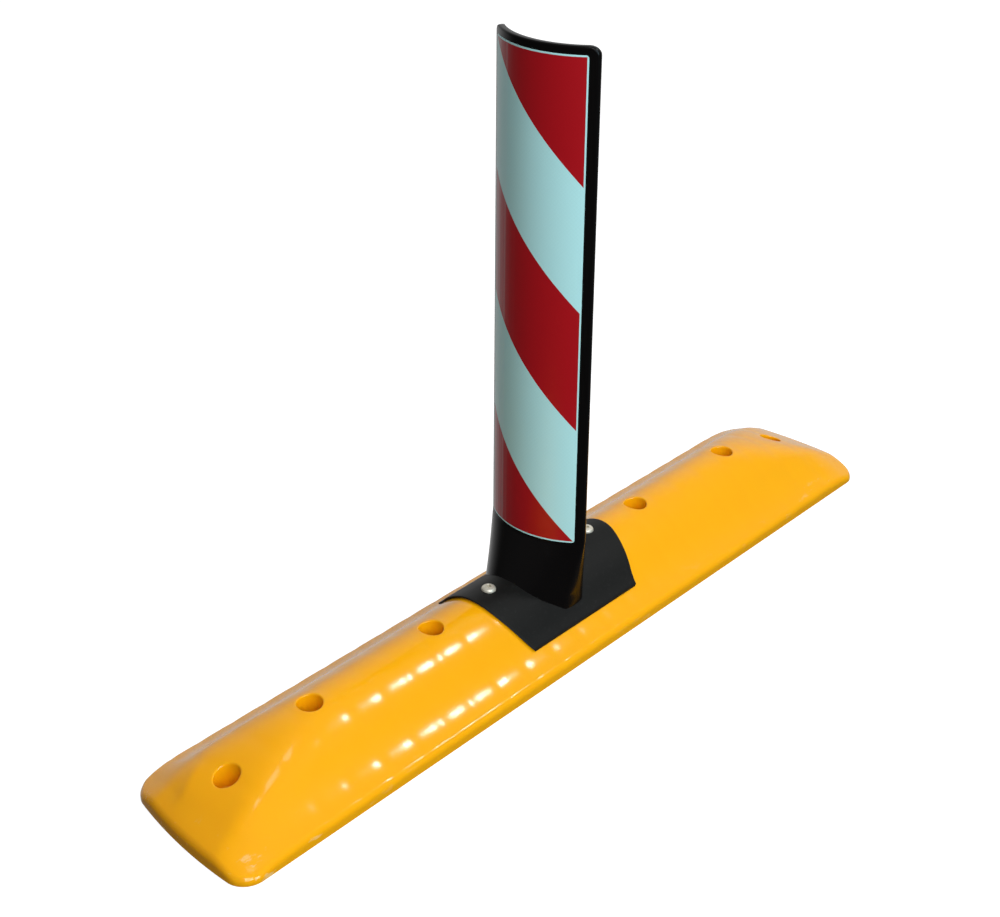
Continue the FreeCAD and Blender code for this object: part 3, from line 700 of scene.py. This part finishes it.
bolt = dict(
    offset=0.080, head=0.015, headHeight=0.0046, headEdge=0.0004, domeStart=0.0010, domeReach=0.86,
    domePower=1.35, domeSpans=11, shank=0.008, shankPlay=0.0001, tip=0.0010,
    pitch=0.00125, threads=14, threadStart=0.0008, threadDepth=0.0006, threadPlay=0.00002, threadEnd=0.0192,
    hexagon=0.005, hexDepth=0.0028, hexEdge=0.0002, hexFloor=0.0006, spans=48,
)
boltLow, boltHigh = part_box("saddle_bolts")
seatLevel = boltHigh.z - bolt["headHeight"]


def boltBodies(material):
    # the profile climbs the threaded shank, goes out under the head and over its dome: the dome's radius is
    # that of a circle over the share t, its height one less a power of one less t
    radius = bolt["head"] / 2
    shank = bolt["shank"] / 2
    low = boltLow.z
    top = seatLevel + bolt["headHeight"]
    start = seatLevel + bolt["domeStart"]
    threads = []
    for k in range(bolt["threads"]):
        root = low + bolt["threadStart"] + k * bolt["pitch"]
        crest = root + bolt["pitch"] / 2
        threads += [(shank - bolt["threadDepth"], root), (shank - bolt["threadPlay"], crest)]
    dome = [(radius * math.sqrt(1 - (bolt["domeReach"] * t) ** 2),
             start + (top - start) * (1 - (1 - t) ** bolt["domePower"]))
            for t in np.linspace(0, 1, bolt["domeSpans"] + 1)]
    plain = shank - bolt["shankPlay"]
    profile = [(0.0, low), (shank - bolt["tip"], low), *threads, (plain, low + bolt["threadEnd"]),
               (plain, seatLevel), (radius - bolt["headEdge"], seatLevel),
               (radius, seatLevel + bolt["headEdge"]), *dome]
    # the hexagon socket: in from the dome's last circle, down its walls and to the middle of its floor
    hexagon = hexagonRadius(bolt["hexagon"], bolt["spans"])
    floorLevel = top - bolt["hexDepth"]
    socket = [(dome[-1][0], top), (hexagon + bolt["hexEdge"], top), (hexagon, top - bolt["hexEdge"]),
              (hexagon, floorLevel), (0.0, floorLevel - bolt["hexFloor"])]
    parts = [turned(run, x, bolt["spans"])
             for x in (-bolt["offset"], bolt["offset"]) for run in (profile, socket)]
    return makePiece("saddle_screws", parts, material, 32.0)


ring = dict(soft=0.0003, hexLap=0.0001, spans=48, boltHole=0.0044, washer=0.010, nutHole=0.0040, nut=0.0065,
            nylonRing=0.0057)


def ringBodies(name, node, inner, outer, material, hexagonal=False):
    # washers, nuts and nylon rings: a closed profile between the node's own heights, with soft edges
    low, high = (corner.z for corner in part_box(node))
    soft = ring["soft"]
    side = hexagonRadius(2 * outer, ring["spans"]) if hexagonal else outer
    face = outer - (ring["hexLap"] if hexagonal else 3 * soft)
    profile = [(inner + soft, low), (face, low), (side, low + 2 * soft), (side, high - 2 * soft),
               (face, high), (inner + soft, high), (inner, high - soft), (inner, low + soft),
               (inner + soft, low)]
    parts = [turned(profile, x, ring["spans"]) for x in (-bolt["offset"], bolt["offset"])]
    return makePiece(name, parts, material, 30.0)


# materials
def kerbPlastic():
    g = Graph("kerb_plastic")
    where = g.coordinates()
    broad = g.noise(where, 3.0, 2.0)
    cloud = g.noise(where, 22.0, 4.0, 0.6)
    colour = g.blend(broad, (0.86, 0.365, 0.0022, 1), (0.91, 0.400, 0.0028, 1))
    colour = g.blend(cloud * 0.25, colour, (0.83, 0.35, 0.002, 1))
    # chalky rubs low on the outside, mostly at the ends
    x, y, z = [g.node("ShaderNodeSeparateXYZ", None, {0: where}, output=k) for k in range(3)]
    low = 1.0 - g.ramp(z, 0.006, 0.030)
    ends = g.ramp(x.math("ABSOLUTE"), 0.30, 0.49)
    patches = g.ramp(g.noise(g.stretched(where, (30.0, 60.0, 90.0)), 1.0, 5.0, 0.65), 0.60, 0.68)
    rub = low * (0.15 + 0.85 * ends) * patches
    colour = g.blend(rub * 0.55, colour, (0.86, 0.62, 0.30, 1))
    scratch = g.ramp(g.noise(g.stretched(where, (14.0, 260.0, 260.0)), 1.0, 2.0, 0.5), 0.70, 0.74)
    roughness = 0.11 + 0.06 * cloud + 0.30 * rub + 0.06 * scratch
    peel = g.noise(where, 900.0, 2.0)
    wave = g.noise(where, 60.0, 2.0)
    normal = g.bump(peel, 0.00001, 0.4, g.bump(wave, 0.0001, 0.3))
    return g.finish(Base_Color=colour, Roughness=roughness, Normal=normal, IOR=1.46,
                    Specular_IOR_Level=0.45, Subsurface_Weight=0.12,
                    Subsurface_Radius=(0.006, 0.003, 0.0005), Subsurface_Scale=1.0)


def saddlePlastic():
    g = Graph("saddle_plastic")
    where = g.coordinates()
    cloud = g.noise(where, 45.0, 4.0, 0.6)
    dust = g.ramp(g.noise(where, 260.0, 3.0), 0.55, 0.75)
    colour = g.blend(cloud, (0.0045, 0.0045, 0.0043, 1), (0.0078, 0.0078, 0.0070, 1))
    colour = g.blend(dust * 0.15, colour, (0.035, 0.035, 0.032, 1))
    grain = g.noise(where, 1600.0, 2.0)
    return g.finish(Base_Color=colour, Roughness=0.46 + 0.12 * cloud, Normal=g.bump(grain, 0.00003, 0.6),
                    Specular_IOR_Level=0.22)


def bladeRubber():
    g = Graph("blade_rubber")
    where = g.coordinates()
    cloud = g.noise(g.stretched(where, (14.0, 14.0, 5.0)), 1.0, 4.0, 0.55)
    smear = g.ramp(g.noise(g.stretched(where, (60.0, 60.0, 9.0)), 1.0, 3.0), 0.52, 0.70)
    colour = g.blend(cloud, (0.0016, 0.0013, 0.0013, 1), (0.0036, 0.0030, 0.0030, 1))
    wave = g.noise(g.stretched(where, (35.0, 35.0, 12.0)), 1.0, 2.0)
    return g.finish(Base_Color=colour, Roughness=0.16 + 0.10 * smear, Normal=g.bump(wave, 0.0004, 0.25),
                    Specular_IOR_Level=0.18)


def reflectiveSheet(name, mirrored=False):
    # stripes drawn from the piece's own map: share round the arc, share up the sheet
    g = Graph(name)
    u, v = [g.node("ShaderNodeSeparateXYZ", None, {0: g.coordinates("UV")}, output=k) for k in range(2)]
    across = u - 0.5
    tall = sheetHigh - sheetLow
    wide = 2 * fullLean * blade["radius"]
    height = v * tall
    flat = g.node("ShaderNodeCombineXYZ", None, {0: across * wide, 1: height})
    if mirrored:
        across = across * -1.0
    depth = (1.0 - v) * stripes["count"]
    row = depth - 0.5 + across
    half = (row * 0.5 + 1.0).math("FRACT")
    edge = stripes["edge"]
    red = g.ramp(half, 0.5 - edge, 0.5 + edge) * (1.0 - g.ramp(half, 1.0 - edge, 1.0))
    # a narrow white frame
    sideGap = (0.5 - across.math("ABSOLUTE")) * wide
    topGap = (tall - height).math("MINIMUM", height)
    frameGap = sideGap.math("MINIMUM", topGap)
    inside = g.ramp(frameGap, stripes["frame"] - 0.0002, stripes["frame"] + 0.0002)
    red = red * inside
    # prism cells: faint crossed fine lines
    cellU = across * (wide / stripes["cell"])
    cellV = height * (1.0 / stripes["cell"])
    lineA = ((cellU + cellV + 1000.0).math("FRACT") - 0.5).math("ABSOLUTE")
    lineB = ((cellU - cellV + 1000.0).math("FRACT") - 0.5).math("ABSOLUTE")
    cells = g.ramp(lineA.math("MAXIMUM", lineB), 0.42, 0.5)
    cloud = g.noise(g.stretched(flat, (9.0, 4.0, 1.0)), 1.0, 3.0)
    # upright bands of painted reflection that lighten the colour, stronger towards one side
    paintedGlossBands = g.ramp(g.noise(g.stretched(flat, (110.0, 0.6, 1.0)), 1.0, 1.0), 0.45, 0.62)
    paintedGlossBands = paintedGlossBands * g.ramp(across, 0.12, 0.34)
    white = g.blend(cells * 0.22, (0.46, 0.80, 0.80, 1), (0.33, 0.60, 0.61, 1))
    white = g.blend(cloud * 0.3, white, (0.52, 0.86, 0.90, 1))
    deep = g.blend(cells * 0.25, (0.38, 0.0030, 0.008, 1), (0.26, 0.0020, 0.005, 1))
    deep = g.blend(cloud * 0.3, deep, (0.44, 0.004, 0.010, 1))
    colour = g.blend(red, white, deep)
    # the painted reflection bands, mixed in as a lighter colour
    colour = g.blend(paintedGlossBands * 0.16, colour, (0.62, 0.78, 0.82, 1))
    return g.finish(Base_Color=colour, Roughness=0.26 + 0.08 * cloud, Normal=g.bump(cells, 0.00003, 0.25),
                    Coat_Weight=0.15, Coat_Roughness=0.12, Specular_IOR_Level=0.4)


def smallPartFinish(name, light, dark, metallic):
    # clouded colour under fine upright marks, for the fasteners
    g = Graph(name)
    where = g.coordinates()
    cloud = g.noise(where, 240.0, 4.0, 0.6)
    brushed = g.noise(g.stretched(where, (900.0, 900.0, 90.0)), 1.0, 3.0)
    colour = g.blend(cloud, light, dark)
    return g.finish(Base_Color=colour, Metallic=metallic, Roughness=0.40 + 0.14 * cloud,
                    Normal=g.bump(brushed, 0.00002, 0.4))


stripes = dict(count=4, edge=0.0012, frame=0.0016, cell=0.0042)

yellow = kerbPlastic()
black = saddlePlastic()
rubber = bladeRubber()
filmFront = reflectiveSheet("reflective_sheet_front")
filmRear = reflectiveSheet("reflective_sheet_rear", mirrored=True)
steel = smallPartFinish("bolt_steel", (0.82, 0.77, 0.66, 1), (0.62, 0.57, 0.46, 1), metallic=0.55)
nylon = smallPartFinish("nylon", (0.80, 0.80, 0.76, 1), (0.70, 0.70, 0.66, 1), metallic=0.0)
print("stage: materials made")

# pieces that stay with the kerb
fixedPieces = (
    (kerbBody(yellow), "kerb_shell", "kerb_plastic"),
    (kerbInside(yellow), "kerb_shell", "kerb_plastic"),
    (saddleBody(black), "saddle_plate", "saddle_plastic"),
    (boltBodies(steel), "saddle_bolts", "bolt_steel"),
    (ringBodies("saddle_bolt_washers", "saddle_washers", ring["boltHole"], ring["washer"], steel),
     "saddle_washers", "bolt_steel"),
    (ringBodies("saddle_lock_nuts", "lock_nuts", ring["nutHole"], ring["nut"], steel, hexagonal=True),
     "lock_nuts", "bolt_steel"),
    (ringBodies("saddle_nut_rings", "lock_nut_rings", ring["nutHole"], ring["nylonRing"], nylon),
     "lock_nut_rings", "nylon"),
)
for piece, node, slot in fixedPieces:
    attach(piece, "kerb")
    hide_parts(node)

# the flexible blade and its two sheets, their places baked into their points
outerRadius = blade["radius"]
innerRadius = blade["radius"] - blade["thickness"]
thin = blade["sheetThickness"]
rearHalf = blade["sheetHalf"] * innerRadius / outerRadius
bendingPieces = (
    (bladeBody(rubber), ("blade_foot", "blade_neck", "blade_panel"), "blade_rubber"),
    (sheetBody("front_sheet", filmFront, outerRadius + thin, outerRadius, blade["sheetHalf"]),
     ("front_reflective_sheet",), "reflective_sheet"),
    (sheetBody("rear_sheet", filmRear, innerRadius - thin, innerRadius, rearHalf),
     ("rear_reflective_sheet",), "reflective_sheet"),
)
for piece, nodes, slot in bendingPieces:
    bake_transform(piece)
    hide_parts(*nodes)
print("stage: pieces placed")


# floor, light and camera
def studioFloor():
    g = Graph("floor_paper")
    grain = g.noise(g.coordinates(), 4.0, 3.0)
    colour = g.blend(grain, (0.50, 0.50, 0.50, 1), (0.53, 0.53, 0.53, 1))
    material = g.finish(Base_Color=colour, Roughness=0.9, Specular_IOR_Level=0.1,
                        Emission_Color=(1.0, 1.0, 1.0, 1), Emission_Strength=studio["floorGlow"])
    half = studio["floorHalf"]
    line = spread(-half, half, half / 4)
    x, y = np.meshgrid(line, line, indexing="ij")
    points = np.stack([x, y, np.full(x.shape, -0.0002)], -1)
    return makePiece("floor", [(points, gridFaces(len(line), len(line))[:, ::-1])], material)


def areaLight(name, place, target, size, power, colour=(1.0, 1.0, 1.0), glossy=True):
    data = bpy.data.lights.new(name, "AREA")
    data.shape = "RECTANGLE"
    data.size, data.size_y = size
    data.energy = power
    data.color = colour
    light = bpy.data.objects.new(name, data)
    aim = Vector(target) - Vector(place)
    light.matrix_world = Matrix.Translation(place) @ aim.to_track_quat("-Z", "Y").to_matrix().to_4x4()
    light.visible_glossy = glossy
    bpy.context.scene.collection.objects.link(light)


studio = dict(
    floorHalf=9.0, floorGlow=0.80, skyHigh=0.20, skyLow=0.07, backdropGlow=0.52,
    keyPlace=(1.0, -0.69, 1.51), keyAim=(-0.1, -0.02, 0.05), keySize=0.15, keyPower=3.6,
    topPlace=(0.9, -0.6, 2.8), topAim=(0.0, 0.0, 0.1), topSize=(3.4, 3.4), topPower=41.0,
    hipPlace=(0.23, -0.10, 3.0), hipAim=(-0.3, 0.0, 0.0), hipSize=(0.5, 0.5), hipPower=3.0,
    fillPlace=(-1.6, -2.3, 1.9), fillAim=(0.0, 0.0, 0.3), fillSize=(1.6, 1.6), fillPower=64.0,
    rimPlace=(-0.35, -2.4, 0.9), rimAim=(0.0, 0.0, 0.35), rimSize=(0.6, 1.2), rimPower=25.0,
    rimColour=(0.60, 0.85, 1.0),
)

floor = studioFloor()
# the floor stays out of the gloss, as if the object stood in the middle of a dark studio
floor.visible_glossy = False
floor.visible_diffuse = False
keySize = (studio["keySize"], studio["keySize"])
areaLight("key", studio["keyPlace"], studio["keyAim"], keySize, studio["keyPower"])
areaLight("top", studio["topPlace"], studio["topAim"], studio["topSize"], studio["topPower"], glossy=False)
areaLight("hip", studio["hipPlace"], studio["hipAim"], studio["hipSize"], studio["hipPower"])
areaLight("fill", studio["fillPlace"], studio["fillAim"], studio["fillSize"], studio["fillPower"])
areaLight("rim", studio["rimPlace"], studio["rimAim"], studio["rimSize"], studio["rimPower"],
          studio["rimColour"])

world = bpy.data.worlds.new("studio")
bpy.context.scene.world = world
sky = Graph(block=world)
aside, behind, upward = [sky.node("ShaderNodeSeparateXYZ", None, {0: sky.coordinates("Generated")}, output=k)
                         for k in range(3)]
# a bright backdrop behind the object, from the floor up
backdrop = sky.ramp((aside + behind) * 0.7071, 0.35, 0.85)
sky.put(world.node_tree.nodes["Background"].inputs[0], (1.0, 1.0, 1.0, 1))
sky.put(world.node_tree.nodes["Background"].inputs[1],
        studio["skyLow"] + (studio["skyHigh"] - studio["skyLow"]) * sky.ramp(upward, -0.1, 0.5)
        + studio["backdropGlow"] * backdrop)
bpy.context.scene.view_settings.view_transform = "Standard"

view = dict(place=(-1.3042, -1.0650, 1.1000), azimuth=-139.12, elevation=28.353, roll=0.407,
            lens=67.572, sensor=36.0, shiftX=0.00653, shiftY=0.00006)


def sceneCamera():
    azimuth, elevation, roll = (math.radians(view[k]) for k in ("azimuth", "elevation", "roll"))
    level = math.cos(elevation)
    back = Vector((level * math.cos(azimuth), level * math.sin(azimuth), math.sin(elevation)))
    right = (-back).cross(Vector((0, 0, 1))).normalized()
    up = right.cross(-back)
    rolledRight = right * math.cos(roll) + up * math.sin(roll)
    rolledUp = up * math.cos(roll) - right * math.sin(roll)
    turn = Matrix((rolledRight, rolledUp, back)).transposed().to_4x4()
    data = bpy.data.cameras.new("camera")
    data.lens = view["lens"]
    data.sensor_width = view["sensor"]
    data.sensor_fit = "HORIZONTAL"
    data.shift_x = view["shiftX"]
    data.shift_y = view["shiftY"]
    camera = bpy.data.objects.new("camera", data)
    camera.matrix_world = Matrix.Translation(view["place"]) @ turn
    bpy.context.scene.collection.objects.link(camera)
    bpy.context.scene.camera = camera


sceneCamera()
print("stage: studio ready")
